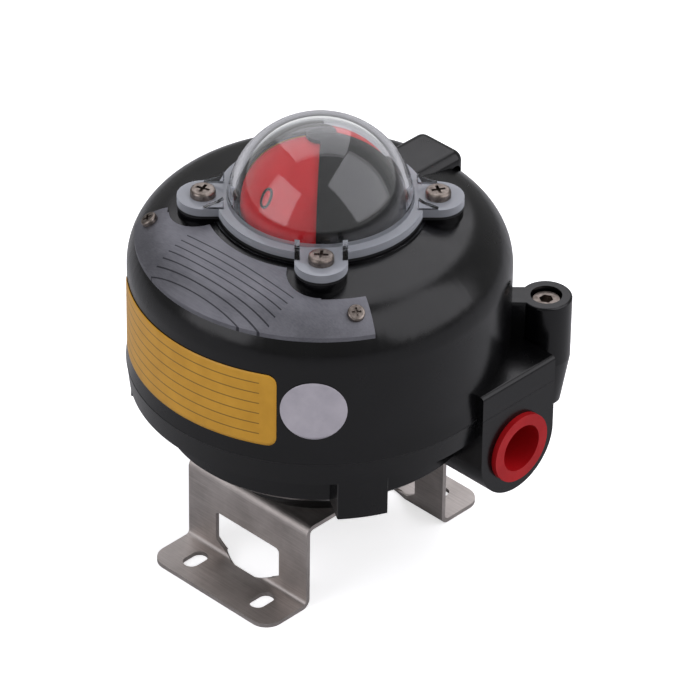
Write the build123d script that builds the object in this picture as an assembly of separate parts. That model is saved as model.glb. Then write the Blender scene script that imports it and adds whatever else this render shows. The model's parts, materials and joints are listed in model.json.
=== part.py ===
from build123d import *
import os
from math import asin, cos, degrees, pi, radians, sin, tan

# Valve limit switch box on its bracket. Z is the shaft axis and points up, z = 0 is the
# underside of the bracket feet, X runs along the 80 mm slot spacing, Y along the cable entries.
# All lengths are in millimetres.

fit = 0.05          # radial running or assembly fit
run_gap = 0.3       # gap between pieces that move past each other

# bracket
sheet = 1.5
bracket_height = 31.0
bracket_width = 53.0
leg_span = 63.4
foot_span = 98.8
bend = 1.5
foot_corner = 6.0
slot_x, slot_y = 80.0, 30.0
slot_width, slot_length = 5.5, 9.0
window_half, window_top, window_side = 14.2, 16.5, 6.0
window_arc = 21.0
window_reach = 33.2
plate_hole = 12.0
plate_screw_x, plate_screw_y = 18.0, 14.0

# base housing
seam = 70.0
rim_radius, rim_edge, rim_depth = 60.6, 59.7, 8.0
drum_radius, drum_bottom = 49.5, 46.8
pedestal_radius = 30.0
base_cavity, base_floor = 44.0, 54.0
block_angle, block_width, block_bottom = 122.0, 16.0, 48.6
lower_bolt_radius = 54.3
seal_in, seal_out, seal_depth = 48.5, 50.5, 1.8

# cable entries
entry_x, entry_z = 25.0, 53.0
entry_boss, entry_bore, entry_face = 16.3, 9.25, 62.5
entry_inner = 34.0
plug_seat = 9.6
wing_rise = 9.0
plug_flange, plug_lip, plug_wall, plug_depth = 11.7, 1.8, 1.6, 15.0

# ears with captive bolts
ear_place, ear_radius, ear_top, ear_bottom = 50.0, 8.2, 92.0, 53.5
web_width = 9.5
m5_shank, m5_head, m5_head_height = 2.5, 4.25, 5.0
counterbore, counterbore_depth = 5.0, 6.5

# cover
cover_radius, cover_cavity = 60.0, 47.0
cone_slope = 12.0
seat_out, seat_in, seat_top = 33.5, 27.5, 125.0
shoulder = 17.3
cover_inner_wall_top, cover_inner_top = 102.0, 118.0
lug_reach, lug_half, lug_top, lug_bottom = 55.0, 9.5, 124.4, 100.0
lug_hole, lug_hole_x, lug_hole_z = 2.65, 50.5, 118.0

# dome, gasket and screws
gasket = 1.0
dome_radius, dome_wall, dome_centre = 29.4, 2.4, 124.9
flange_radius, flange_height = 32.3, 2.7
tab_radius, tab_pitch, tab_turn = 8.1, 36.2, 45.0
prong_wall, prong_top, prong_reach = 1.6, 134.0, 37.0
m4_shank, m4_head, m4_head_height = 2.0, 4.0, 2.4
dome_screw_depth = 11.0

# indicator
mask_radius, mask_wall, mask_foot = 26.3, 1.1, 29.0
rotor_radius, rotor_wall, rotor_bottom = 24.8, 1.5, 122.0
cap_angle, window_turn = 10.0, -3.5
hub_plate, hub_boss, hub_boss_height = 2.5, 8.0, 5.5

# nameplate
plate_in, plate_out, plate_ends = 35.5, 57.5, 47.2
plate_centre, plate_half_angle, plate_thickness = -173.5, 55.0, 0.8
plate_screw_radius, plate_screw_angle = 52.5, 50.0
tab_clearance = 10.5

# shaft and its bearing
shaft_radius, shaft_bottom, shaft_top = 5.0, 17.0, 119.0
collar_radius, collar_top = 7.0, 30.0
thrust_radius, thrust_top = 6.2, 35.5
tongue_width, tongue_length = 4.0, 4.0
bush_radius, bush_bottom, bush_top = 8.0, 36.0, 50.0
seal_height = 3.0
clip_depth, clip_radius, clip_thickness = 0.5, 8.0, 1.0

# cams and switches
cam_low, cam_rise, cam_height = 10.0, 1.5, 6.0
cam_closed_z, cam_open_z = 74.0, 86.0
stop_radius, stop_height = 7.6, 2.0
spring_radius, spring_wire = 6.6, 0.4
tip_radius = 2.4
pivot_x, pivot_y, pivot_pin = 16.2, 17.0, 0.8
lever_sheet, lever_height = 0.6, 4.0
switch_x, switch_deep, switch_y, switch_long, switch_high = 18.0, 10.0, -2.0, 20.0, 6.0
plate_back, post_y, post_long = 1.5, -4.0, 24.0
m3_shank, m3_head, m3_head_height = 1.5, 2.7, 1.6

# terminals
strip_x, strip_deep, strip_long, strip_bottom, strip_high = -34.0, 12.0, 44.0, 60.0, 12.0
ways = 6
earth_x, earth_y = -10.0, 36.0


def turned(*points):
    return revolve(Plane.XZ * make_face(Polyline(*points, close=True)), Axis.Z)


def ring(outer, inner, bottom, top):
    return Pos(0, 0, bottom) * extrude(Circle(outer) - Circle(inner), top - bottom)


def rod(radius, bottom, top, x=0.0, y=0.0):
    return Pos(x, y, bottom) * extrude(Circle(radius), top - bottom)


def block(x0, x1, y0, y1, z0, z1):
    return Pos((x0 + x1) / 2, (y0 + y1) / 2, (z0 + z1) / 2) * Box(x1 - x0, y1 - y0, z1 - z0)


def polar(radius, angle):
    return radius * cos(radians(angle)), radius * sin(radians(angle))


def both_sides(shape):
    return shape + mirror(shape, Plane.XZ)


def sector(radius, start, span, bottom, top):
    edge = [polar(radius, start + span * step / 6) for step in range(7)]
    return Pos(0, 0, bottom) * extrude(make_face(Polyline((0, 0), *edge, close=True)), top - bottom)


def socket_screw(head_bottom, length, x, y, up=1):
    # up is 1 for a head on top of its shank, -1 for a head below it
    head = rod(m5_head, 0, m5_head_height)
    shank = rod(m5_shank, -length, 0)
    key = Pos(0, 0, m5_head_height - 2.5) * extrude(RegularPolygon(2.3, 6), 3)
    screw = head + shank - key
    if up < 0:
        screw = Rot(180, 0, 0) * screw
    return Pos(x, y, head_bottom) * screw


def pan_screw(shank, head, height, length):
    dome = rod(head, 0, height)
    dome = fillet(dome.edges().group_by(Axis.Z)[-1], height * 0.4)
    cross = Box(head * 1.1, head * 0.26, height) + Box(head * 0.26, head * 1.1, height)
    return dome + rod(shank, -length, 0) - Pos(0, 0, height) * cross


# ---- bracket ----

def bracket_profile():
    leg, foot, top = leg_span / 2, foot_span / 2, bracket_height
    inner = leg - sheet
    outline = Polyline((foot, 0), (foot, sheet), (leg, sheet), (leg, top), (-leg, top), (-leg, sheet),
                       (-foot, sheet), (-foot, 0), (-inner, 0), (-inner, top - sheet),
                       (inner, top - sheet), (inner, 0), close=True)
    face = make_face(outline)
    inner_bends = [(leg, sheet), (inner, top - sheet)]
    outer_bends = [(leg, top), (inner, 0)]
    for places, radius in ((inner_bends, bend), (outer_bends, bend + sheet)):
        corners = [v for v in face.vertices()
                   if any(abs(abs(v.X) - x) < 0.01 and abs(v.Y - z) < 0.01 for x, z in places)]
        face = fillet(corners, radius)
    return face


def leg_window():
    arc_centre = window_side + (window_arc ** 2 - window_half ** 2) ** 0.5
    straight = block(-foot_span, foot_span, -window_half, window_half, -1, window_top)
    straight = fillet(straight.edges().filter_by(Axis.X).group_by(Axis.Z)[-1], 1.5)
    round_end = Pos(0, 0, arc_centre) * Rot(0, 90, 0) * Cylinder(window_arc, 2 * foot_span)
    upper = block(-foot_span, foot_span, -foot_span, foot_span, 0.2, bracket_height)
    window = straight & round_end & upper
    inside = block(-window_reach, window_reach, -foot_span, foot_span, -1, bracket_height)
    keep = block(-leg_span / 2 + 4, leg_span / 2 - 4, -foot_span, foot_span, -1, bracket_height)
    window = (window & inside) - keep
    for side in (-1, 1):
        scoop = Pos(side * (window_reach - window_arc), 0, 1) * Cylinder(window_arc, 5)
        edge = block(*sorted((side * (leg_span / 2 - 4), side * foot_span)),
                     -window_half, window_half, -1, sheet + bend)
        window += scoop & edge
    return window


def mounting_bracket():
    body = extrude(Plane.XZ * bracket_profile(), bracket_width / 2, both=True)
    corners = body.edges().filter_by(Axis.Z).filter_by(lambda edge: abs(edge.center().X) > foot_span / 2 - 0.1)
    body = fillet(corners, foot_corner)
    body -= leg_window()
    for p in GridLocations(slot_x, slot_y, 2, 2):
        body -= p * Pos(0, 0, -1) * extrude(SlotOverall(slot_length, slot_width), sheet + 2)
    body -= rod(plate_hole, bracket_height - 5, bracket_height + 1)
    for p in GridLocations(2 * plate_screw_x, 2 * plate_screw_y, 2, 2):
        hole = rod(m5_shank + 0.25, bracket_height - 5, bracket_height + 1)
        body -= p * hole
    return body


def bracket_screws():
    under = bracket_height - sheet
    places = GridLocations(2 * plate_screw_x, 2 * plate_screw_y, 2, 2)
    return [socket_screw(under, 12.5, p.position.X, p.position.Y, up=-1) for p in places]


# ---- base housing ----

def entry_wing():
    length = entry_face - entry_inner + 4
    barrel = Pos(entry_x, -entry_face + length / 2, entry_z) * Rot(90, 0, 0) * Cylinder(entry_boss, length)
    upright = block(entry_x - entry_boss, entry_x + entry_boss, -entry_face, -base_cavity + 6, entry_z, seam)
    return barrel + upright


def base_ear():
    lug = Pos(ear_place, -ear_place, (seam + ear_bottom) / 2) * Cone(5.6, ear_radius, seam - ear_bottom)
    web = Rot(0, 0, -45) * block(52, 2 ** 0.5 * ear_place, -web_width / 2, web_width / 2, seam - 9, seam)
    return lug + web


def bolt_block():
    body = block(drum_radius - 3, rim_edge + 0.2, -block_width / 2, block_width / 2, block_bottom, seam - 4)
    body = fillet(body.edges().filter_by(Axis.Z).group_by(Axis.X)[-1], 1.5)
    return Rot(0, 0, -block_angle) * (body & rod(rim_edge, block_bottom, seam))


def base_housing():
    shell = turned((0, bracket_height), (pedestal_radius, bracket_height), (pedestal_radius, drum_bottom - 2),
                   (pedestal_radius + 3, drum_bottom), (drum_radius - 2, drum_bottom),
                   (drum_radius, drum_bottom + 2), (drum_radius, seam - rim_depth - 2),
                   (rim_edge, seam - rim_depth), (rim_radius, seam), (0, seam))
    shell += both_sides(entry_wing() + base_ear() + bolt_block())
    shell -= rod(base_cavity, base_floor, seam + 1)
    for side, radius in ((-1, plug_seat), (1, entry_bore)):
        bore = Rot(90, 0, 0) * Cylinder(radius, entry_face - entry_inner + 1)
        shell -= Pos(entry_x, side * (entry_face + entry_inner + 1) / 2, entry_z) * bore
    shell -= ring(seal_out, seal_in, seam - seal_depth, seam + 1)
    shell -= rod(bush_radius, bush_bottom - 1, base_floor + 1)
    shell -= rod(collar_radius + 1, bracket_height - 1, bush_bottom)
    for side in (-1, 1):
        shell -= rod(m5_shank + fit, ear_bottom + 3, seam + 1, ear_place, side * ear_place)
        x, y = polar(lower_bolt_radius, side * block_angle)
        shell -= rod(m5_shank + fit, block_bottom - 1, seam + 1, x, y)
        shell -= rod(m5_head + 0.15, block_bottom - 1, block_bottom + m5_head_height + 0.5, x, y)
    for p in GridLocations(2 * plate_screw_x, 2 * plate_screw_y, 2, 2):
        shell -= rod(m5_shank + fit, bracket_height - 1, bracket_height + 12, p.position.X, p.position.Y)
    shell -= rod(m4_shank + fit, base_floor - 5, base_floor + 1, earth_x, earth_y)
    return shell


def conduit_plug():
    face = -entry_face
    outside = plug_seat - fit
    barrel = ring(outside, outside - plug_wall, 0, plug_depth)
    barrel += rod(outside, plug_depth - plug_wall, plug_depth)
    barrel += ring(plug_flange, outside - plug_wall, -plug_lip, 0)
    return Pos(entry_x, face, entry_z) * Rot(-90, 0, 0) * barrel


# ---- cover ----

def cone_height(radius):
    return seat_top - 1 - (radius - seat_out - 1) * tan(radians(cone_slope))


def domed_top(lift, top):
    # everything below the coned and rounded top of the cover, lifted square to it
    corner = cone_height(cover_radius + lift) + lift / cos(radians(cone_slope))
    start = cone_height(seat_out) + lift / cos(radians(cone_slope))
    outline = make_face(Polyline((0, seam), (rim_radius, seam), (cover_radius + lift, seam + 8),
                                 (cover_radius + lift, corner), (seat_out, start), (seat_out, top),
                                 (0, top), close=True))
    edge = [v for v in outline.vertices() if abs(v.Y - corner) < 0.01 and v.X > seat_out + 5]
    return revolve(Plane.XZ * fillet(edge, shoulder + lift), Axis.Z)


def cover_ear():
    ear = rod(ear_radius, seam, ear_top, ear_place, -ear_place)
    web = Rot(0, 0, -45) * block(50, 2 ** 0.5 * ear_place, -web_width / 2, web_width / 2, seam, ear_top)
    ear = fillet((ear + web).edges().group_by(Axis.Z)[-1], 0.8)
    return ear


def cover_wing():
    wing = block(entry_x - entry_boss, entry_x + entry_boss, -entry_face, -cover_cavity + 6, seam,
                 seam + wing_rise)
    return fillet(wing.edges().group_by(Axis.Z)[-1].filter_by(Axis.X), 1.5)


def lifting_lug():
    lug = block(seat_in + 1, lug_reach, -lug_half, lug_half, lug_bottom, lug_top)
    lug = fillet(lug.edges().filter_by(Axis.X).group_by(Axis.Z)[-1], 3.5)
    outer = lug.edges().group_by(Axis.X)[-1].group_by(Axis.Z)[-1]
    lug = fillet(outer, 3.0)
    return lug - Pos(lug_hole_x, 0, lug_hole_z) * Rot(90, 0, 0) * Cylinder(lug_hole, 4 * lug_half)


def cover():
    shell = domed_top(0, seat_top)
    shell += both_sides(cover_ear() + cover_wing())
    shell += lifting_lug()
    for p in PolarLocations(tab_pitch, 4, tab_turn):
        shell += rod(tab_radius - 0.2, cover_inner_wall_top, seat_top, p.position.X, p.position.Y)
    wall, top = cover_inner_wall_top, cover_inner_top
    shell -= turned((0, seam - 1), (cover_cavity, seam - 1), (cover_cavity, wall), (38, wall + 11),
                    (seat_in, top - 2), (seat_in, seat_top + 1), (0, seat_top + 1))
    for side in (-1, 1):
        shell -= rod(m5_shank + fit, seam - 1, ear_top + 1, ear_place, side * ear_place)
        shell -= rod(counterbore, ear_top - counterbore_depth, ear_top + 1, ear_place, side * ear_place)
        x, y = polar(lower_bolt_radius, side * block_angle)
        shell -= rod(m5_shank + fit, seam - 1, seam + 14, x, y)
    for p in PolarLocations(tab_pitch, 4, tab_turn):
        shell -= rod(m4_shank + fit, seat_top - dome_screw_depth, seat_top + 1, p.position.X, p.position.Y)
    for side in (-1, 1):
        turn = plate_centre + side * plate_screw_angle
        x, y = polar(plate_screw_radius, turn)
        tilt, height = plate_screw_seat()
        shell -= Pos(x, y, height) * Rot(0, 0, turn) * Rot(0, tilt, 0) * rod(m3_shank, -6, 1)
    return shell


def cover_bolts_upper():
    under = ear_top - counterbore_depth
    return [socket_screw(under, 27, ear_place, side * ear_place) for side in (-1, 1)]


def cover_bolts_lower():
    under = block_bottom + m5_head_height + 0.5
    places = [polar(lower_bolt_radius, side * block_angle) for side in (-1, 1)]
    return [socket_screw(under, 26, x, y, up=-1) for x, y in places]


def wedge(radius, start, span):
    edge = [polar(radius, start + span * step / 6) for step in range(7)]
    return make_face(Polyline((0, 0), *edge, close=True))


def nameplate():
    plan = (Circle(plate_out) - Circle(plate_in))
    plan &= wedge(plate_out * 1.2, plate_centre - plate_half_angle, 2 * plate_half_angle)
    for angle in (180 - tab_turn, tab_turn - 180):
        x, y = polar(tab_pitch, angle)
        plan -= Pos(x, y) * Circle(tab_clearance)
        start = angle if angle < 0 else angle - 40
        plan -= Circle(plate_ends) & wedge(plate_out, start, 40)
    for side in (-1, 1):
        x, y = polar(plate_screw_radius, plate_centre + side * plate_screw_angle)
        plan -= Pos(x, y) * Circle(m3_shank + 0.4)
    layer = domed_top(plate_thickness, seat_top + 5) - domed_top(0, seat_top + 5)
    return layer & Pos(0, 0, seam) * extrude(plan, seat_top)


def plate_screw_seat():
    # each screw stands square to the rounded part of the top: its tilt and height there
    across = plate_screw_radius - (cover_radius - shoulder)
    round_z = cone_height(cover_radius) - shoulder * tan((pi / 2 - radians(cone_slope)) / 2)
    outer = shoulder + plate_thickness
    return degrees(asin(across / outer)), round_z + (outer ** 2 - across ** 2) ** 0.5


def nameplate_screws():
    tilt, height = plate_screw_seat()
    screw = pan_screw(m3_shank - 0.4, m3_head, m3_head_height, 5)
    screws = []
    for side in (-1, 1):
        turn = plate_centre + side * plate_screw_angle
        x, y = polar(plate_screw_radius, turn)
        screws.append(Pos(x, y, height + 0.05) * Rot(0, 0, turn) * Rot(0, tilt, 0) * screw)
    return screws


# ---- dome ----

def tabbed_outline(inner):
    shape = Circle(flange_radius)
    for p in PolarLocations(tab_pitch, 4, tab_turn):
        shape += p * Circle(tab_radius)
    for p in PolarLocations(tab_pitch - 6, 4, tab_turn):
        shape += p * Rectangle(12, 2 * tab_radius)
    return shape - Circle(inner)


def dome_gasket():
    sheet_shape = tabbed_outline(mask_foot + 0.2)
    for p in PolarLocations(tab_pitch, 4, tab_turn):
        sheet_shape -= p * Circle(m4_shank + 0.2)
    return Pos(0, 0, seat_top) * extrude(sheet_shape, gasket)


def clear_dome():
    base = seat_top + gasket
    inner = dome_radius - dome_wall
    ball = Pos(0, 0, dome_centre) * Sphere(dome_radius)
    ball &= rod(50, base, base + 60)
    body = ball + Pos(0, 0, base) * extrude(tabbed_outline(10), flange_height)
    cone = turned((0, base), (prong_reach, base), (prong_reach, base + flange_height + 0.1),
                  (flange_radius, prong_top - 3), (dome_radius - 1, prong_top), (0, prong_top))
    prongs = Pos(0, 0, base) * extrude(tabbed_outline(10), prong_top - base)
    prongs &= cone
    prongs -= rod(flange_radius - 1.5, base, prong_top + 1)
    slots = []
    for p in PolarLocations(tab_pitch, 4, tab_turn):
        slots.append(p * Rectangle(24, 2 * (tab_radius - prong_wall)))
    keep = []
    for p in PolarLocations(tab_pitch, 4, tab_turn):
        keep.append(p * Rectangle(20, 2 * tab_radius))
    prongs &= Pos(0, 0, base) * extrude(Sketch() + keep, prong_top - base)
    prongs -= Pos(0, 0, base) * extrude(Sketch() + slots, prong_top)
    body += prongs
    body -= Pos(0, 0, dome_centre) * Sphere(inner)
    for p in PolarLocations(tab_pitch, 4, tab_turn):
        body -= rod(m4_shank + 0.2, base - 1, base + flange_height + 1, p.position.X, p.position.Y)
    return body


def dome_screws():
    seat = seat_top + gasket + flange_height
    screw = pan_screw(m4_shank, m4_head, m4_head_height, flange_height + gasket + dome_screw_depth - 1)
    return [Pos(p.position.X, p.position.Y, seat) * Rot(0, 0, 20 * n) * screw
            for n, p in enumerate(PolarLocations(tab_pitch, 4, tab_turn))]


def shell_slice(outer, wall, bottom, start, span):
    # part of a hemispherical shell round the shaft axis, cut off flat at the given height
    curve = Pos(0, dome_centre) * (Circle(outer) - Circle(outer - wall))
    curve &= Pos(outer, bottom + outer) * Rectangle(2 * outer, 2 * outer)
    return Rot(0, 0, start) * revolve(Plane.XZ * curve, Axis.Z, revolution_arc=span)


def indicator_mask():
    base = seat_top
    shell = shell_slice(mask_radius, mask_wall, base, 0, 360)
    shell += ring(mask_foot, mask_radius - mask_wall / 2, base, base + gasket)
    cap = rod(mask_radius * sin(radians(cap_angle)), 0, 200)
    for turn in (0, 180):
        shell -= sector(60, turn + window_turn - 45, 90, base + gasket + 0.6, 200) - cap
    return shell


# ---- shaft and indicator ----

def drive_shaft():
    shaft = rod(shaft_radius, shaft_bottom + tongue_length, shaft_top)
    shaft += rod(collar_radius, shaft_bottom + tongue_length, collar_top)
    shaft += rod(thrust_radius, collar_top, thrust_top)
    tongue = rod(collar_radius, shaft_bottom, shaft_bottom + tongue_length)
    shaft += tongue & block(-20, 20, -tongue_width / 2, tongue_width / 2, 0, 40)
    shaft += rod(stop_radius, cam_closed_z - stop_height, cam_closed_z)
    for bottom in (base_floor + 0.4, cam_open_z + cam_height):
        shaft -= ring(shaft_radius + 1, shaft_radius - clip_depth, bottom, bottom + clip_thickness)
    shaft -= rod(m4_shank, shaft_top - 9, shaft_top + 1)
    return shaft


def retaining_clips():
    clip = ring(clip_radius, shaft_radius - clip_depth, 0, clip_thickness)
    clip -= block(0, 20, -2, 2, -1, 5)
    return [Pos(0, 0, z) * clip for z in (base_floor + 0.4, cam_open_z + cam_height)]


def cam(ramp_up):
    # the radius changes evenly over the quarter turn that passes the lever
    def radius(angle):
        if -90 <= angle <= 0:
            share = -angle / 90 if ramp_up else 1 + angle / 90
        elif ramp_up:
            share = 1 if angle > -120 and angle < -90 else 0
        else:
            share = 1 if 0 < angle < 25 else 0
        return cam_low + cam_rise * share
    steps = [-180 + 7.5 * n for n in range(48)]
    outline = Polyline(*[polar(radius(a), a) for a in steps], close=True)
    return extrude(make_face(outline) - Circle(shaft_radius), cam_height)


def cam_spring():
    turns = ring(spring_radius, spring_radius - 2 * spring_wire, 0, 2 * spring_wire)
    free = cam_open_z - cam_closed_z - cam_height
    count = 5
    coil = turns
    for n in range(1, count):
        lift = n * (free - 2 * spring_wire) / (count - 1)
        coil += Pos(0, 0, lift) * turns
        link = block(spring_radius - 2 * spring_wire, spring_radius, -1, 1, 0, lift + 2 * spring_wire)
        coil += link & ring(spring_radius, spring_radius - 2 * spring_wire, 0, free)
    return Pos(0, 0, cam_closed_z + cam_height) * coil


def lever(pressed):
    # a sheet lever with its end rolled into a round shoe that rides on the cam
    reach = cam_low + tip_radius + run_gap + (cam_rise if pressed else 0)
    eye = Pos(pivot_x, pivot_y) * Circle(pivot_pin + 0.6)
    shoe = Pos(reach, 0) * Circle(tip_radius)
    arm = make_face(Polyline((pivot_x - lever_sheet, pivot_y), (pivot_x, pivot_y), (reach + 1.2, 0.5),
                             (reach + 0.6, 0.5), close=True))
    shape = eye + shoe + arm - Pos(pivot_x, pivot_y) * Circle(pivot_pin + fit)
    return extrude(shape, lever_height)


def switch_case():
    body = block(switch_x, switch_x + switch_deep, switch_y, switch_y + switch_long, 0, switch_high)
    ear = block(pivot_x - 1.5, switch_x, pivot_y - 1.5, pivot_y + 1.0, 0, 0.7)
    body += ear + Pos(0, 0, switch_high - 0.7) * ear
    body += rod(pivot_pin, 0, switch_high, pivot_x, pivot_y)
    for y in (switch_y + 4, switch_y + switch_long - 4):
        hole = Rot(0, 90, 0) * Cylinder(m3_shank + fit, 6)
        body -= Pos(switch_x + switch_deep - 3, y, switch_high / 2) * hole
    return body


def switch_bracket():
    back = switch_x + switch_deep
    plate = block(back, back + plate_back, post_y, post_y + post_long, base_floor, cam_open_z + cam_height + 2)
    foot = block(back, back + 10, post_y, post_y + post_long, base_floor, base_floor + plate_back)
    foot &= rod(base_cavity - 0.5, base_floor, seam)
    plate += foot
    for low in (cam_closed_z, cam_open_z):
        for y in (switch_y + 4, switch_y + switch_long - 4):
            hole = Rot(0, 90, 0) * Cylinder(m3_shank + fit, 6)
            plate -= Pos(back, y, low + switch_high / 2) * hole
    return plate


def switch_screws():
    screws = []
    screw = Rot(0, 90, 0) * pan_screw(m3_shank, m3_head, m3_head_height, 6)
    for low in (cam_closed_z, cam_open_z):
        for y in (switch_y + 4, switch_y + switch_long - 4):
            screws.append(Pos(switch_x + switch_deep + plate_back, y, low + switch_high / 2) * screw)
    return screws


def terminal_strip():
    body = block(strip_x - strip_deep / 2, strip_x + strip_deep / 2, -strip_long / 2, strip_long / 2,
                 strip_bottom, strip_bottom + strip_high)
    body &= rod(base_cavity - 0.8, strip_bottom, strip_bottom + strip_high)
    pitch = strip_long / (ways + 1)
    for n in range(ways):
        y = (n - (ways - 1) / 2) * pitch
        body -= rod(2.2, strip_bottom + strip_high - 4, strip_bottom + strip_high + 1, strip_x, y)
        slot = block(strip_x, strip_x + strip_deep, y - 1.6, y + 1.6, strip_bottom + 2, strip_bottom + 6)
        body -= slot
    for side in (-1, 1):
        y = side * (strip_long / 2 - 3.2)
        body += block(strip_x - 3, strip_x + 3, y - 2, y + 2, base_floor, strip_bottom)
    return body


def terminal_screws():
    pitch = strip_long / (ways + 1)
    head_bottom = strip_bottom + strip_high - 4
    screws = []
    for n in range(ways):
        slot = block(-3, 3, -0.4, 0.4, 1.2, 3)
        screw = rod(2.0, 0, 2.0) - slot
        screws.append(Pos(strip_x, (n - (ways - 1) / 2) * pitch, head_bottom) * screw)
    return screws


def indicator_hub():
    top = rotor_bottom
    plate = rod(rotor_radius, top - hub_plate, top)
    boss = rod(hub_boss, top - hub_plate - hub_boss_height, top - hub_plate)
    return plate + boss - rod(shaft_radius, 0, shaft_top) - rod(m4_shank, shaft_top - 1, top + 1)


def rotor_sectors(start):
    skirt = Plane.XZ * (Pos(rotor_radius - rotor_wall / 2, (rotor_bottom + dome_centre) / 2)
                        * Rectangle(rotor_wall, dome_centre - rotor_bottom))
    pieces = []
    for turn in (start + window_turn, start + window_turn + 180):
        dome = shell_slice(rotor_radius, rotor_wall, dome_centre, turn, 90)
        pieces.append(dome + Rot(0, 0, turn) * revolve(skirt, Axis.Z, revolution_arc=90))
    return pieces


def main():
    os.makedirs("parts", exist_ok=True)
    nodes = {
        "mounting_bracket": mounting_bracket(),
        "bracket_screws": bracket_screws(),
        "base_housing": base_housing(),
        "shaft_bush": ring(bush_radius, shaft_radius + fit, bush_bottom, bush_top),
        "shaft_seal": ring(bush_radius, shaft_radius + fit, bush_top, bush_top + seal_height),
        "cover_seal": ring(seal_out, seal_in, seam - seal_depth, seam),
        "cover": cover(),
        "cover_bolts_upper": cover_bolts_upper(),
        "cover_bolts_lower": cover_bolts_lower(),
        "conduit_plug": conduit_plug(),
        "nameplate": nameplate(),
        "nameplate_screws": nameplate_screws(),
        "dome_gasket": dome_gasket(),
        "clear_dome": clear_dome(),
        "dome_screws": dome_screws(),
        "indicator_mask": indicator_mask(),
        "drive_shaft": drive_shaft(),
        "retaining_clips": retaining_clips(),
        "closed_cam": Pos(0, 0, cam_closed_z) * cam(False),
        "open_cam": Pos(0, 0, cam_open_z) * cam(True),
        "cam_spring": cam_spring(),
        "indicator_hub": indicator_hub(),
        "indicator_screw": Pos(0, 0, rotor_bottom) * pan_screw(m4_shank, m4_head, m4_head_height, 10),
        "rotor_red_sectors": rotor_sectors(-45),
        "rotor_yellow_sectors": rotor_sectors(45),
        "closed_switch": Pos(0, 0, cam_closed_z) * switch_case(),
        "open_switch": Pos(0, 0, cam_open_z) * switch_case(),
        "closed_lever": Pos(0, 0, cam_closed_z + 1) * lever(True),
        "open_lever": Pos(0, 0, cam_open_z + 1) * lever(False),
        "switch_bracket": switch_bracket(),
        "switch_screws": switch_screws(),
        "terminal_strip": terminal_strip(),
        "terminal_screws": terminal_screws(),
        "earth_screw": Pos(earth_x, earth_y, base_floor) * pan_screw(m4_shank, m4_head, m4_head_height, 4),
    }
    for name, shape in nodes.items():
        if isinstance(shape, list):
            solids = [solid for piece in shape for solid in piece.solids()]
        else:
            solids = shape.solids()
        shape = solids[0] if len(solids) == 1 else Compound(children=solids)
        shape.label = name
        export_step(shape, f"parts/{name}.step")


main()
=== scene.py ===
import json
from math import cos, pi, radians, sin, sqrt

import bmesh
import bpy
from mathutils import Matrix, Vector


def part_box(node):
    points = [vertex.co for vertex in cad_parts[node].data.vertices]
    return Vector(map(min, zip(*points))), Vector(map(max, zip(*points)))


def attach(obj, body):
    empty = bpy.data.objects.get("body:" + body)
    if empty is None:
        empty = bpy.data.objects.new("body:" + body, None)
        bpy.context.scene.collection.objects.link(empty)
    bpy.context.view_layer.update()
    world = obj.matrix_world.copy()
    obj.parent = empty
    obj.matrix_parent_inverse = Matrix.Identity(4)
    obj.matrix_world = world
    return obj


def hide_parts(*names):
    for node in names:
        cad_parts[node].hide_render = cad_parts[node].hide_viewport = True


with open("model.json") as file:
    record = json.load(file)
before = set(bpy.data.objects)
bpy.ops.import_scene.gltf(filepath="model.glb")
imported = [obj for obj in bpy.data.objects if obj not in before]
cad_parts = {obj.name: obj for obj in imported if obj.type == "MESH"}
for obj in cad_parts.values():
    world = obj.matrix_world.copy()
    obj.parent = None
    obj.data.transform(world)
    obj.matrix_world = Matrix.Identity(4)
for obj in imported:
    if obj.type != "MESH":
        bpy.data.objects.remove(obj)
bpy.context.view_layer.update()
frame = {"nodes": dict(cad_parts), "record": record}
nodes = frame["nodes"]
record = frame["record"]
mm = 0.001


def colour(code):
    # sRGB hex to the linear numbers that sockets want
    parts = [int(code[n:n + 2], 16) / 255 for n in (1, 3, 5)]
    linear = [c / 12.92 if c <= 0.04045 else ((c + 0.055) / 1.055) ** 2.4 for c in parts]
    return (*linear, 1.0)


def grey(value):
    return (value, value, value, 1.0)


def addNode(tree, kind, settings=None, links=None):
    # a setting is a ramp's stops, a socket's value or a property, and a link comes from a node or a socket
    node = tree.nodes.new(kind)
    for name, value in (settings or {}).items():
        if name == "stops":
            for element, (position, tint) in zip(node.color_ramp.elements, value):
                element.position = position
                element.color = tint
        elif isinstance(name, int) or name in node.inputs:
            node.inputs[name].default_value = value
        else:
            setattr(node, name, value)
    for name, source in (links or {}).items():
        socket = source.outputs[0] if isinstance(source, bpy.types.Node) else source
        tree.links.new(socket, node.inputs[name])
    return node


def newMaterial(name, settings):
    material = bpy.data.materials.new(name)
    material.use_nodes = True
    tree = material.node_tree
    tree.nodes.clear()
    shader = addNode(tree, "ShaderNodeBsdfPrincipled", settings)
    addNode(tree, "ShaderNodeOutputMaterial", None, {"Surface": shader})
    place = addNode(tree, "ShaderNodeTexCoord").outputs["Object"]
    return material, tree, shader, place


fineShare = 0.6  # how strongly each finer layer of a pattern shows


def patches(tree, place, pattern):
    # soft patches of a real size in millimetres, with that many finer layers
    settings = {"Scale": 1 / (pattern["size"] * mm), "Detail": pattern["layers"], "Roughness": fineShare}
    return addNode(tree, "ShaderNodeTexNoise", settings, {"Vector": place})


def drawnBetween(tree, shader, socket, pattern, stops):
    # the pattern runs between two colours, or two plain values, into one of the shader's sockets
    ends = [(at, colour(end) if isinstance(end, str) else grey(end)) for at, end in stops]
    ramp = addNode(tree, "ShaderNodeValToRGB", {"stops": ends}, {"Fac": pattern})
    tree.links.new(ramp.outputs[0], shader.inputs[socket])


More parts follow.
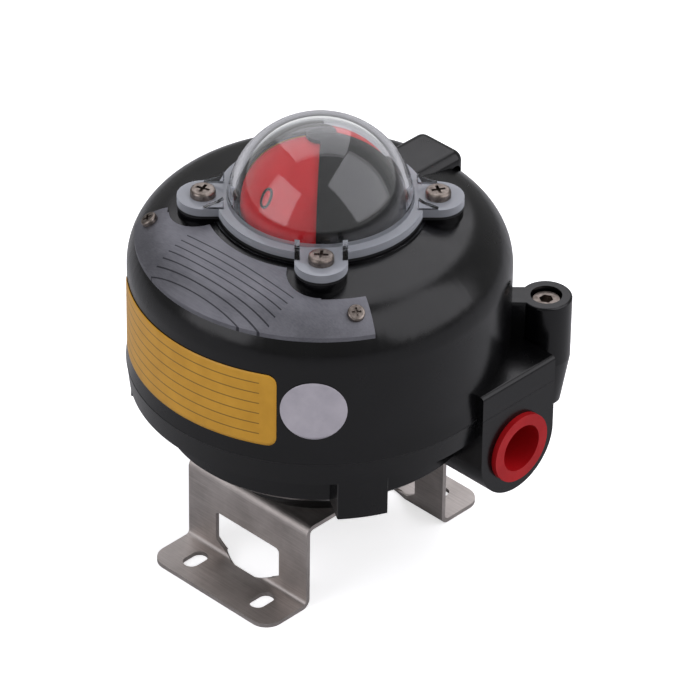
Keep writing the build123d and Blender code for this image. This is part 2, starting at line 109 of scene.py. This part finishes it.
def raised(tree, shader, pattern, depth, strength):
    # the pattern stands up by a depth in millimetres
    relief = {"Distance": depth * mm, "Strength": strength}
    bump = addNode(tree, "ShaderNodeBump", relief, {"Height": pattern})
    tree.links.new(bump.outputs[0], shader.inputs["Normal"])


def powderCoat():
    # semi-gloss black powder coat on a die casting: a faint orange peel and soft scuffs
    look = {"shine": 0.38, "tints": ((0.45, "#030304"), (0.8, "#09090C")),
            "rough": ((0.3, 0.19), (0.75, 0.3)), "scuffs": {"size": 22, "layers": 5},
            "wipes": {"size": 12, "layers": 6},
            "peel": {"size": 1.1, "layers": 2}, "peelDepth": 0.04, "peelStrength": 0.35}
    material, tree, shader, place = newMaterial("powderCoat", {"Specular IOR Level": look["shine"]})
    drawnBetween(tree, shader, "Base Color", patches(tree, place, look["scuffs"]), look["tints"])
    drawnBetween(tree, shader, "Roughness", patches(tree, place, look["wipes"]), look["rough"])
    raised(tree, shader, patches(tree, place, look["peel"]), look["peelDepth"], look["peelStrength"])
    return material


# what rolled and brushed sheets share: fine drawn lines, as coarse as they need to show, and some smudging
brushing = {"lines": {"size": 0.4, "layers": 4}, "lineShare": 0.45, "lineDepth": 0.03, "lineStrength": 0.3,
            "smudges": {"size": 14, "layers": 4}, "smudgeShare": 0.6}


def brushedSheet(name, look):
    material, tree, shader, place = newMaterial(name, {"Metallic": 1.0})
    drawn = addNode(tree, "ShaderNodeMapping", {"Scale": look["drawn"]}, {"Vector": place})
    lines = patches(tree, drawn, brushing["lines"])
    smudges = patches(tree, place, brushing["smudges"])
    share = {"operation": "MULTIPLY", 1: brushing["smudgeShare"]}
    faint = addNode(tree, "ShaderNodeMath", share, {0: smudges})
    share = {"operation": "MULTIPLY_ADD", 1: brushing["lineShare"]}
    mixed = addNode(tree, "ShaderNodeMath", share, {0: lines, 2: faint})
    drawnBetween(tree, shader, "Base Color", mixed, look["tints"])
    drawnBetween(tree, shader, "Roughness", mixed, look["rough"])
    raised(tree, shader, lines, brushing["lineDepth"], brushing["lineStrength"])
    return material


def turnedMetal(name, dark, base, rough):
    # turned or headed metal: tiny tool marks and a darker bloom
    look = {"tints": ((0.35, dark), (0.7, base)), "bloom": {"size": 2, "layers": 4},
            "marks": {"size": 0.6, "layers": 3}, "markDepth": 0.03, "markStrength": 0.3}
    material, tree, shader, place = newMaterial(name, {"Metallic": 1.0, "Roughness": rough})
    drawnBetween(tree, shader, "Base Color", patches(tree, place, look["bloom"]), look["tints"])
    raised(tree, shader, patches(tree, place, look["marks"]), look["markDepth"], look["markStrength"])
    return material


def mouldedPlastic(name, base, shade, rough, shine=0.4):
    # moulded plastic or rubber: even colour, slight flow marks and a fine tool texture
    look = {"tints": ((0.35, base), (0.75, shade)), "flow": {"size": 9, "layers": 4},
            "rough": ((0.3, rough), (0.7, rough + 0.14)), "wipes": {"size": 6, "layers": 4},
            "grain": {"size": 0.9, "layers": 2}, "grainDepth": 0.03, "grainStrength": 0.4}
    material, tree, shader, place = newMaterial(name, {"Specular IOR Level": shine})
    drawnBetween(tree, shader, "Base Color", patches(tree, place, look["flow"]), look["tints"])
    drawnBetween(tree, shader, "Roughness", patches(tree, place, look["wipes"]), look["rough"])
    raised(tree, shader, patches(tree, place, look["grain"]), look["grainDepth"], look["grainStrength"])
    return material


def clearPolycarbonate():
    # clear moulded polycarbonate: faint ripples, with a painted highlight: a pale diffuse colour mixed over
    # the flange, stronger at its grazing rims
    look = {"base": "#FAFBFD", "shine": 0.3, "rough": 0.02, "ior": 1.45, "rim": "#E4E8F2",
            "flangeTop": 128.9, "flangeHighlight": 0.3, "rimHighlight": 0.35, "rimWidth": 0.4,
            "ripples": {"size": 6, "layers": 2}, "rippleDepth": 0.02, "rippleStrength": 0.15}
    settings = {"Base Color": colour(look["base"]), "Roughness": look["rough"], "IOR": look["ior"],
                "Transmission Weight": 1.0, "Specular IOR Level": look["shine"]}
    material, tree, shader, place = newMaterial("clearPolycarbonate", settings)
    raised(tree, shader, patches(tree, place, look["ripples"]), look["rippleDepth"], look["rippleStrength"])
    # painted highlight: below the flange top a share of pale diffuse colour stands in for the light on the
    # clear flange, with more of it where the surface turns away at the rims
    height = addNode(tree, "ShaderNodeSeparateXYZ", None, {0: place}).outputs[2]
    below = {"operation": "LESS_THAN", 1: look["flangeTop"] * mm}
    low = addNode(tree, "ShaderNodeMath", below, {0: height})
    edge = addNode(tree, "ShaderNodeLayerWeight", {"Blend": look["rimWidth"]}).outputs["Facing"]
    faint = addNode(tree, "ShaderNodeMath", {"operation": "MULTIPLY", 1: look["rimHighlight"]}, {0: edge})
    rim = addNode(tree, "ShaderNodeMath", {"operation": "MULTIPLY"}, {0: faint, 1: edge})
    both = addNode(tree, "ShaderNodeMath", {"operation": "ADD", 1: look["flangeHighlight"]}, {0: rim})
    highlightShare = addNode(tree, "ShaderNodeMath", {"operation": "MULTIPLY"}, {0: both, 1: low})
    paintedHighlight = addNode(tree, "ShaderNodeBsdfDiffuse", {"Color": colour(look["rim"])})
    mix = addNode(tree, "ShaderNodeMixShader", None, {0: highlightShare, 1: shader, 2: paintedHighlight})
    out = next(node for node in tree.nodes if node.type == "OUTPUT_MATERIAL")
    tree.links.new(mix.outputs[0], out.inputs[0])
    return material


def printedFilm(name, look):
    # thin printed film: even ink, a few worn patches and a fine skin
    film = {"wear": {"size": 8, "layers": 5}, "skin": {"size": 0.7, "layers": 2},
            "skinDepth": 0.02, "skinStrength": 0.3}
    settings = {"Metallic": look["metallic"], "Roughness": look["rough"]}
    material, tree, shader, place = newMaterial(name, settings)
    drawnBetween(tree, shader, "Base Color", patches(tree, place, film["wear"]), look["tints"])
    raised(tree, shader, patches(tree, place, film["skin"]), film["skinDepth"], film["skinStrength"])
    return material


def ruleRows(material, place, acrossAxis, downAxis, look):
    # blank ruled rows inside a field, in the units of the place that they are drawn on
    tree = material.node_tree
    shader = next(node for node in tree.nodes if node.type == "BSDF_PRINCIPLED")
    under = shader.inputs["Base Color"].links[0].from_socket
    split = addNode(tree, "ShaderNodeSeparateXYZ", None, {0: place})
    across, down = split.outputs[acrossAxis], split.outputs[downAxis]
    count = addNode(tree, "ShaderNodeMath", {"operation": "MULTIPLY", 1: 1 / look["pitch"]}, {0: down})
    row = addNode(tree, "ShaderNodeMath", {"operation": "FRACT"}, {0: count})
    show = addNode(tree, "ShaderNodeMath", {"operation": "LESS_THAN", 1: look["line"]}, {0: row})
    for source, (low, high) in ((across, look["across"]), (down, look["down"])):
        for operation, limit in (("GREATER_THAN", low), ("LESS_THAN", high)):
            side = addNode(tree, "ShaderNodeMath", {"operation": operation, 1: limit}, {0: source})
            show = addNode(tree, "ShaderNodeMath", {"operation": "MULTIPLY"}, {0: show, 1: side})
    faint = addNode(tree, "ShaderNodeMath", {"operation": "MULTIPLY", 1: look["strength"]}, {0: show})
    ink = {"data_type": "RGBA", 7: colour(look["ink"])}
    mix = addNode(tree, "ShaderNodeMix", ink, {0: faint, 6: under})
    tree.links.new(mix.outputs[2], shader.inputs["Base Color"])


coat = powderCoat()
bracketSheet = {"tints": ((0.3, "#9E9793"), (0.72, "#D3CCC8")), "rough": ((0.3, 0.42), (0.7, 0.56)),
                "drawn": (1, 0.03, 1)}
sheetMetal = brushedSheet("brushedStainless", bracketSheet)

# the nameplate's rows run along Y, 2.6 mm apart
plateSheet = {"tints": ((0.3, "#636369"), (0.72, "#87878D")), "rough": ((0.3, 0.5), (0.7, 0.62)),
              "drawn": (1, 0.04, 1)}
plateRows = {"pitch": 2.6 * mm, "line": 0.16, "across": (-27 * mm, 19 * mm),
             "down": (-54.5 * mm, -38.5 * mm), "ink": "#2C2C30", "strength": 0.8}
plateMetal = brushedSheet("etchedAluminium", plateSheet)
platePlace = addNode(plateMetal.node_tree, "ShaderNodeTexCoord").outputs["Object"]
ruleRows(plateMetal, platePlace, 1, 0, plateRows)

# the label's seven rows and their field are shares of the film's own width and height
labelPaper = {"tints": ((0.3, "#D9A02A"), (0.75, "#C9921F")), "metallic": 0.0, "rough": 0.42}
labelRows = {"pitch": 1 / 7, "line": 0.1, "across": (0.07, 0.93), "down": (0.1, 0.9),
             "ink": "#5A4410", "strength": 0.75}
labelYellow = printedFilm("yellowFilm", labelPaper)
labelPlace = addNode(labelYellow.node_tree, "ShaderNodeUVMap", {"uv_map": "flat"})
ruleRows(labelYellow, labelPlace, 0, 1, labelRows)
stickerPaper = {"tints": ((0.3, "#C9C4CC"), (0.75, "#B3AFB8")), "metallic": 0.25, "rough": 0.4}
stickerSilver = printedFilm("silverFilm", stickerPaper)

# each metal's dark bloom, its base colour and its roughness
screwMetal = turnedMetal("stainlessScrews", "#665D57", "#9C928B", 0.34)
shaftMetal = turnedMetal("turnedStainless", "#8F8C88", "#C2C0BC", 0.25)
springSteel = turnedMetal("springSteel", "#6E6E72", "#A9A9AC", 0.3)
brass = turnedMetal("brassScrews", "#8C6B2F", "#C9A45A", 0.3)
bronze = turnedMetal("sinteredBronze", "#6A4824", "#9A6E3C", 0.45)

# each plastic's base colour, its paler shade, its roughness and, where it isn't the usual, its shine
rubber = mouldedPlastic("sealRubber", "#0B0B0C", "#17171A", 0.5)
redPlug = mouldedPlastic("redPolyethylene", "#A80C14", "#B8161C", 0.36, 0.25)
redRotor = mouldedPlastic("redRotorPaint", "#B8141C", "#C8242A", 0.45, 0.2)
yellowRotor = mouldedPlastic("yellowRotorPaint", "#E0A81C", "#EDB93A", 0.45, 0.2)
maskBlack = mouldedPlastic("blackMaskPlastic", "#060607", "#0C0C0E", 0.3, 0.14)
camRed = mouldedPlastic("redNylon", "#A81E1E", "#BC3030", 0.45)
camGreen = mouldedPlastic("greenNylon", "#1F6B38", "#2C8048", 0.45)
caseBlack = mouldedPlastic("switchPhenolic", "#141416", "#202024", 0.45)
terminalGrey = mouldedPlastic("terminalPolyamide", "#C9C6BC", "#D6D3C8", 0.45)
clear = clearPolycarbonate()

finishes = {
    "mounting_bracket": sheetMetal,
    "bracket_screws": screwMetal,
    "base_housing": coat,
    "shaft_bush": bronze,
    "shaft_seal": rubber,
    "cover_seal": rubber,
    "cover": coat,
    "cover_bolts_upper": screwMetal,
    "cover_bolts_lower": screwMetal,
    "conduit_plug": redPlug,
    "nameplate": plateMetal,
    "nameplate_screws": screwMetal,
    "dome_gasket": rubber,
    "clear_dome": clear,
    "dome_screws": screwMetal,
    "indicator_mask": maskBlack,
    "drive_shaft": shaftMetal,
    "retaining_clips": springSteel,
    "closed_cam": camRed,
    "open_cam": camGreen,
    "indicator_hub": maskBlack,
    "indicator_screw": screwMetal,
    "rotor_red_sectors": redRotor,
    "rotor_yellow_sectors": yellowRotor,
    "closed_switch": caseBlack,
    "open_switch": caseBlack,
    "closed_lever": springSteel,
    "open_lever": springSteel,
    "switch_bracket": sheetMetal,
    "switch_screws": screwMetal,
    "terminal_strip": terminalGrey,
    "terminal_screws": brass,
    "earth_screw": brass,
}
print("materials")


def newPiece(name, bm, material, body, smooth=True):
    mesh = bpy.data.meshes.new(name)
    for face in bm.faces:
        face.smooth = smooth
    bm.to_mesh(mesh)
    bm.free()
    piece = bpy.data.objects.new(name, mesh)
    bpy.context.scene.collection.objects.link(piece)
    mesh.materials.append(material)
    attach(piece, body)
    return piece


# edges that turn by more than sharp stay crisp, and level and least say what a busy flat face is
shading = {"sharp": 32.0, "level": 0.6, "least": 12, "merge": 0.002}


def flatRegion(start, seen):
    # the faces that lie level with this one and join it
    region = [start]
    for face in region:
        for edge in face.edges:
            for other in edge.link_faces:
                if other not in seen and other.normal.angle(start.normal, 0) < radians(shading["level"]):
                    seen.add(other)
                    region.append(other)
    return region


def keepCrisp(bm):
    # real edges stay crisp, and a flat face with a busy outline keeps an even shade up to its border
    for edge in bm.edges:
        edge.smooth = edge.calc_face_angle(0) < radians(shading["sharp"])
    seen = set()
    for start in bm.faces:
        if start in seen:
            continue
        seen.add(start)
        region = flatRegion(start, seen)
        if len(region) < shading["least"]:
            continue
        inside = set(region)
        for face in region:
            for edge in face.edges:
                if any(other not in inside for other in edge.link_faces):
                    edge.smooth = False


def dressed(node, body):
    # the solid's own surface with its curved faces smoothed and its real edges kept crisp
    bm = bmesh.new()
    bm.from_mesh(nodes[node].data)
    bmesh.ops.remove_doubles(bm, verts=bm.verts, dist=shading["merge"] * mm)
    bm.normal_update()
    keepCrisp(bm)
    piece = newPiece(node + "_skin", bm, finishes[node], body)
    even = piece.modifiers.new("evenShading", "WEIGHTED_NORMAL")
    even.keep_sharp = True
    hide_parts(node)


bodyOf = {node: body for body, names in record["behaviour"]["bodies"].items() for node in names}
for node in nodes:
    if node != "cam_spring":  # the wound spring below takes its place
        dressed(node, bodyOf[node])
print("dressed", len(finishes), "pieces")


def roundedPlace(x, y, look):
    # a place on the square sheet, moved so that the film becomes a disc or gets round corners
    width, height, corner = look["width"] * mm, look["height"] * mm, look["corner"] * mm
    if look["round"]:
        u, v = x * 2, y * 2
        return u * sqrt(1 - v * v / 2) * width / 2, v * sqrt(1 - u * u / 2) * height / 2
    x, y = x * width, y * height
    nearX, nearY = width / 2 - corner, height / 2 - corner
    if abs(x) > nearX and abs(y) > nearY:
        dx, dy = abs(x) - nearX, abs(y) - nearY
        reach = max(dx, dy) / max(sqrt(dx * dx + dy * dy), 1e-9)
        x = (nearX + dx * reach) * (1 if x > 0 else -1)
        y = (nearY + dy * reach) * (1 if y > 0 else -1)
    return x, y


def wrappedFilm(name, look, material):
    # a thin film laid on the round wall of the cover
    film = {"wall": 60.08, "gap": 0.06, "thick": 0.12, "columns": 64, "rows": 24}
    bm = bmesh.new()
    bmesh.ops.create_grid(bm, x_segments=film["columns"], y_segments=film["rows"], size=0.5)
    flat = bm.loops.layers.uv.new("flat")
    for face in bm.faces:
        for loop in face.loops:
            loop[flat].uv = (loop.vert.co.x + 0.5, loop.vert.co.y + 0.5)
    for vert in bm.verts:
        vert.co = (*roundedPlace(vert.co.x, vert.co.y, look), 0)
    bmesh.ops.solidify(bm, geom=bm.faces[:], thickness=film["thick"] * mm)
    radius = film["wall"] * mm
    for vert in bm.verts:
        turn = radians(look["angle"]) + vert.co.x / radius
        out = radius + film["gap"] * mm + abs(vert.co.z)
        up = look["z"] * mm + vert.co.y
        vert.co = (out * cos(turn), out * sin(turn), up)
    bmesh.ops.recalc_face_normals(bm, faces=bm.faces)
    newPiece(name, bm, material, "root")


label = {"width": 78, "height": 26.2, "corner": 3.2, "round": False, "angle": 175.0, "z": 88.7}
sticker = {"width": 20.6, "height": 20.8, "corner": 0, "round": True, "angle": -137.0, "z": 89.9}
wrappedFilm("yellowLabel", label, labelYellow)
wrappedFilm("silverSticker", sticker, stickerSilver)


def meshOf(name, curve):
    # a curve or text made a mesh, in a bmesh of its own
    holder = bpy.data.objects.new(name + "Flat", curve)
    bpy.context.scene.collection.objects.link(holder)
    bpy.context.view_layer.update()
    mesh = bpy.data.meshes.new_from_object(holder)
    bpy.data.objects.remove(holder)
    bm = bmesh.new()
    bm.from_mesh(mesh)
    return bm


# plain numbers on the rotor: 0 on the closed sectors and 90 on the open ones
numbers = {"size": 9.5, "ball": 24.8, "centre": 124.9, "tilt": 28.0, "turn": -3.5,
           "gap": 0.07, "halfThick": 0.05, "cuts": 2}


def domeNumber(name, words, turn):
    # a painted number, set out flat and then wrapped on the ball
    curve = bpy.data.curves.new(name, "FONT")
    curve.body = words
    curve.size = numbers["size"] * mm
    curve.align_x = "CENTER"
    curve.align_y = "CENTER"
    curve.extrude = numbers["halfThick"] * mm
    bm = meshOf(name, curve)
    bmesh.ops.triangulate(bm, faces=bm.faces)
    bmesh.ops.subdivide_edges(bm, edges=bm.edges, cuts=numbers["cuts"])
    radius = numbers["ball"] * mm
    for vert in bm.verts:
        tilt = radians(numbers["tilt"]) + vert.co.y / radius
        spin = radians(turn) + vert.co.x / (radius * cos(tilt))
        out = radius + numbers["gap"] * mm + vert.co.z
        height = numbers["centre"] * mm + out * sin(tilt)
        vert.co = (out * cos(tilt) * cos(spin), out * cos(tilt) * sin(spin), height)
    bmesh.ops.recalc_face_normals(bm, faces=bm.faces)
    newPiece(name, bm, maskBlack, "shaft", smooth=False)


# painted shadow: a thin dark strip laid where the cover meets the base, round the body and across the entry
# wings, for the shade in the joint
seam = {"radius": 60.63, "z": 70.0, "height": 0.35, "thick": 0.05,
        "wingX": 25.0, "wingY": 62.5, "wingLong": 32.4, "wingThick": 0.06, "wingEdge": 0.01}


def seamShadeLine():
    bm = bmesh.new()
    bmesh.ops.create_circle(bm, segments=160, radius=seam["radius"] * mm)
    band = bmesh.ops.extrude_edge_only(bm, edges=bm.edges[:])["geom"]
    upper = [part for part in band if isinstance(part, bmesh.types.BMVert)]
    bmesh.ops.translate(bm, verts=upper, vec=(0, 0, seam["height"] * mm))
    bmesh.ops.translate(bm, verts=bm.verts, vec=(0, 0, (seam["z"] - seam["height"] / 2) * mm))
    bmesh.ops.recalc_face_normals(bm, faces=bm.faces)
    bmesh.ops.solidify(bm, geom=bm.faces[:], thickness=seam["thick"] * mm)
    # painted shadow in the joint, drawn in the dark seal rubber; it is no seal
    newPiece("seamShadeLine", bm, rubber, "root")


def wingSeamShade(name, side):
    bm = bmesh.new()
    bmesh.ops.create_cube(bm, size=1)
    size = (seam["wingLong"] * mm, seam["wingThick"] * mm, seam["height"] * mm)
    bmesh.ops.scale(bm, verts=bm.verts, vec=size)
    place = (seam["wingX"] * mm, side * seam["wingY"] * mm, seam["z"] * mm)
    bmesh.ops.translate(bm, verts=bm.verts, vec=place)
    bmesh.ops.bevel(bm, geom=bm.edges[:], offset=seam["wingEdge"] * mm, segments=1, profile=0.5,
                    affect="EDGES", material=-1)
    # painted shadow along the joint on the entry wing, drawn in the dark seal rubber
    newPiece(name, bm, rubber, "root", smooth=False)


def woundSpring():
    # the wound spring between the cams, in place of the solid's stack of rings
    look = {"radius": 6.2, "wire": 0.4, "turns": 4.5, "steps": 16}
    radius, wire = look["radius"] * mm, look["wire"] * mm
    low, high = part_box("cam_spring")
    curve = bpy.data.curves.new("springPath", "CURVE")
    curve.dimensions = "3D"
    curve.bevel_depth = wire
    curve.bevel_resolution = 3
    line = curve.splines.new("NURBS")
    count = int(look["turns"] * look["steps"])
    line.points.add(count)
    rise = high.z - low.z - 2 * wire
    for n in range(count + 1):
        turn = 2 * pi * n / look["steps"]
        height = low.z + wire + rise * n / count
        line.points[n].co = (radius * cos(turn), radius * sin(turn), height, 1)
    line.use_endpoint_u = True
    bm = meshOf("spring", curve)
    bmesh.ops.holes_fill(bm, edges=[edge for edge in bm.edges if edge.is_boundary])
    bmesh.ops.recalc_face_normals(bm, faces=bm.faces)
    spring = newPiece("woundSpring", bm, springSteel, "shaft")
    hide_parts("cam_spring")


seamShadeLine()
wingSeamShade("wingSeamShadeNear", -1)
wingSeamShade("wingSeamShadeFar", 1)
woundSpring()
for side in (0, 180):
    domeNumber("closedNumber%d" % side, "0", side + numbers["turn"])
    domeNumber("openNumber%d" % side, "90", side + 90 + numbers["turn"])
print("labels, seams, spring and numbers")


def paperFloor():
    # white paper that glows a little to the camera, and throws back less light than it shows
    look = {"half": 6, "paper": "#F7F7F8", "bounce": "#C4C4C6", "glow": 0.62}
    bm = bmesh.new()
    bmesh.ops.create_grid(bm, x_segments=1, y_segments=1, size=look["half"])
    mesh = bpy.data.meshes.new("studioFloor")
    bm.to_mesh(mesh)
    bm.free()
    floor = bpy.data.objects.new("studioFloor", mesh)
    bpy.context.scene.collection.objects.link(floor)
    material = bpy.data.materials.new("paperFloor")
    material.use_nodes = True
    tree = material.node_tree
    tree.nodes.clear()
    matte = addNode(tree, "ShaderNodeBsdfDiffuse", {"Color": colour(look["paper"])})
    bounce = addNode(tree, "ShaderNodeBsdfDiffuse", {"Color": colour(look["bounce"])})
    glow = addNode(tree, "ShaderNodeEmission", {"Color": grey(1), "Strength": look["glow"]})
    both = addNode(tree, "ShaderNodeAddShader", None, {0: matte, 1: glow})
    seen = addNode(tree, "ShaderNodeLightPath").outputs["Is Camera Ray"]
    mix = addNode(tree, "ShaderNodeMixShader", None, {0: seen, 1: bounce, 2: both})
    addNode(tree, "ShaderNodeOutputMaterial", None, {"Surface": mix})
    mesh.materials.append(material)


def studioWorld():
    # white behind the object and through the dome, dim where it only lights and reflects
    look = {"seen": 1.0, "lighting": 0.3}
    world = bpy.data.worlds.new("studioWorld")
    bpy.context.scene.world = world
    world.use_nodes = True
    tree = world.node_tree
    tree.nodes.clear()
    dim = addNode(tree, "ShaderNodeBackground", {"Color": grey(1), "Strength": look["lighting"]})
    bright = addNode(tree, "ShaderNodeBackground", {"Color": grey(1), "Strength": look["seen"]})
    path = addNode(tree, "ShaderNodeLightPath")
    rays = {0: path.outputs["Is Camera Ray"], 1: path.outputs["Is Transmission Ray"]}
    seen = addNode(tree, "ShaderNodeMath", {"operation": "MAXIMUM"}, rays)
    mix = addNode(tree, "ShaderNodeMixShader", None, {0: seen, 1: dim, 2: bright})
    addNode(tree, "ShaderNodeOutputWorld", None, {"Surface": mix})


def softboxes():
    # places and sizes are in metres and powers in watts, and each one faces the box
    look = {"aim": (0, 0, 0.09), "tint": (0.96, 0.95, 1.0)}
    lamps = {
        "keySoftbox": {"at": (0.35, -0.75, 0.75), "size": (1.2, 1.3), "power": 8.0},
        "fillSoftbox": {"at": (-0.95, 0.25, 0.55), "size": (0.8, 0.9), "power": 4.0},
        "topSoftbox": {"at": (0.35, 0.45, 0.95), "size": (1.1, 1.0), "power": 5.0},
    }
    for name, lamp in lamps.items():
        light = bpy.data.lights.new(name, "AREA")
        light.shape = "RECTANGLE"
        light.size, light.size_y = lamp["size"]
        light.energy = lamp["power"]
        light.color = look["tint"]
        holder = bpy.data.objects.new(name, light)
        holder.location = lamp["at"]
        aim = Vector(look["aim"]) - Vector(lamp["at"])
        holder.rotation_euler = aim.to_track_quat("-Z", "Y").to_euler()
        bpy.context.scene.collection.objects.link(holder)


def productCamera():
    # angles in degrees, lens and sensor in millimetres, the rest in metres
    look = {"heading": 44.0, "fall": 34.96, "roll": 0.81, "distance": 1.65735, "lens": 271.4, "sensor": 36,
            "side": 0.009713, "up": 0.000469, "aim": (0, 0, 0.07), "clip": 20}
    heading, fall, roll = radians(look["heading"]), radians(look["fall"]), radians(look["roll"])
    level = Vector((cos(heading), sin(heading), 0))
    right = Vector((sin(heading), -cos(heading), 0))
    ahead = level * cos(fall) - Vector((0, 0, sin(fall)))
    over = level * sin(fall) + Vector((0, 0, cos(fall)))
    rightward = right * cos(roll) + over * sin(roll)
    upward = over * cos(roll) - right * sin(roll)
    spot = Vector(look["aim"]) - ahead * look["distance"]
    spot += rightward * look["side"] + upward * look["up"]
    data = bpy.data.cameras.new("productCamera")
    data.lens = look["lens"]
    data.sensor_width = look["sensor"]
    data.clip_end = look["clip"]
    holder = bpy.data.objects.new("productCamera", data)
    turn = Matrix((rightward, upward, -ahead)).transposed().to_4x4()
    holder.matrix_world = Matrix.Translation(spot) @ turn
    bpy.context.scene.collection.objects.link(holder)
    bpy.context.scene.camera = holder


paperFloor()
studioWorld()
softboxes()
productCamera()
bpy.context.scene.view_settings.view_transform = "Standard"
bpy.context.view_layer.update()
print("studio ready")
